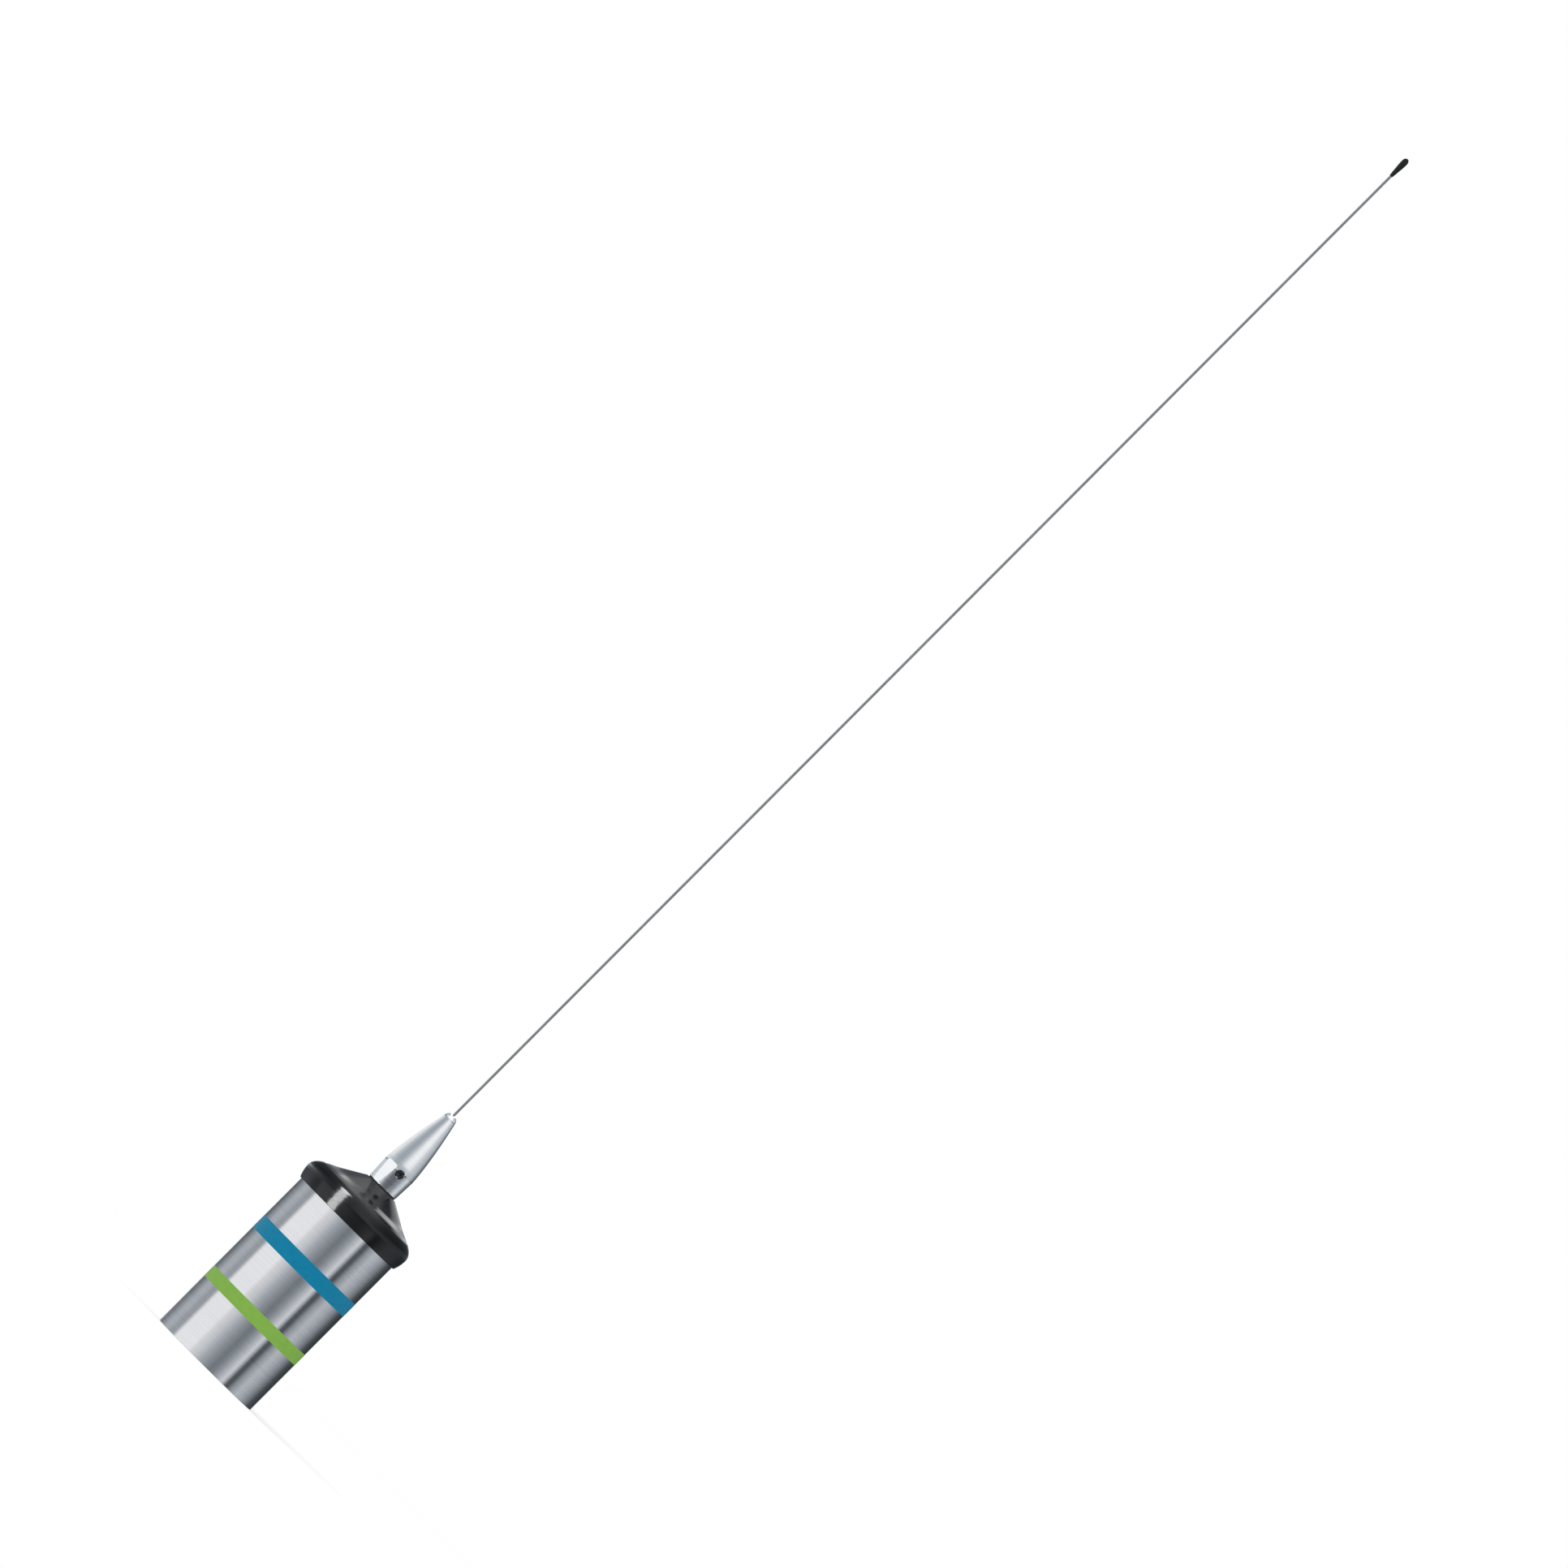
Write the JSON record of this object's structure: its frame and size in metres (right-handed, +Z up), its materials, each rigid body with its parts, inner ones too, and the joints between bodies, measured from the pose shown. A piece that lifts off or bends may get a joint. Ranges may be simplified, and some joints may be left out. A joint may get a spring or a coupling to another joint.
{
  "type": "marine radio antenna",
  "caption": "Marine VHF whip antenna: polished steel base tube with colour bands, black moulded cap, chromed tapered ferrule that unscrews, thin steel whip with a black tip.",
  "frame": {"origin": "centre of the base's flat underside, on the antenna's axis", "axes": "+Z up along the whip; -Y towards the side whose set screw and wrench flat show in the picture"},
  "size_m": [0.0738, 0.0738, 0.9144],
  "materials": {
    "polished_steel": "polished stainless, with one blue and one green band printed round it",
    "whip_steel": "drawn stainless wire, satin",
    "plain_steel": "turned stainless, plain",
    "chrome": "bright chrome plate on brass",
    "brass": "turned brass",
    "nickel": "nickel plate on brass",
    "copper": "bare copper wire",
    "tinned_brass": "tin plate on brass",
    "black_plastic": "moulded, semi-gloss black",
    "tip_plastic": "moulded black, satin",
    "former_plastic": "moulded, ivory",
    "rubber": "moulded black rubber",
    "white_insulator": "white fluoropolymer",
    "red_insulation": "wire insulation",
    "dipped_ceramic": "dipped disc capacitor"
  },
  "bodies": {
    "base": {"base_tube": "polished_steel", "top_cap": "black_plastic", "cap_seal_ring": "rubber", "base_plug": "black_plastic", "base_seal_ring": "rubber", "mount_bush": "chrome", "socket_gasket": "rubber", "socket_body": "nickel", "socket_insulator": "white_insulator", "socket_contact": "brass", "flange_screw_1": "plain_steel", "flange_screw_2": "plain_steel", "flange_screw_3": "plain_steel", "flange_screw_4": "plain_steel", "ground_lug": "tinned_brass", "coil_former": "former_plastic", "coil_winding": "copper", "feed_lead": "red_insulation", "matching_capacitor": "dipped_ceramic", "top_terminal": "brass", "terminal_tag": "tinned_brass", "terminal_washer": "plain_steel", "terminal_nut": "brass"},
    "seal": {"ferrule_washer": "rubber"},
    "whip": {"ferrule": "chrome", "whip_set_screw": "plain_steel", "whip_rod": "whip_steel", "whip_tip": "tip_plastic"}
  },
  "joints": [
    {"name": "ferrule_turn", "type": "hinge", "parent": "base", "child": "seal", "pos_m": [0, 0, 0.135], "axis": [0, 0, 1], "range_deg": [0, 3420]},
    {"name": "ferrule_lift", "type": "slide", "parent": "seal", "child": "whip", "axis": [0, 0, 1], "range_m": [0, 0.01005]}
  ],
  "couplings": [
    {"joint": "ferrule_turn", "follows": "ferrule_lift", "rad_per_m": 5936.9}
  ]
}
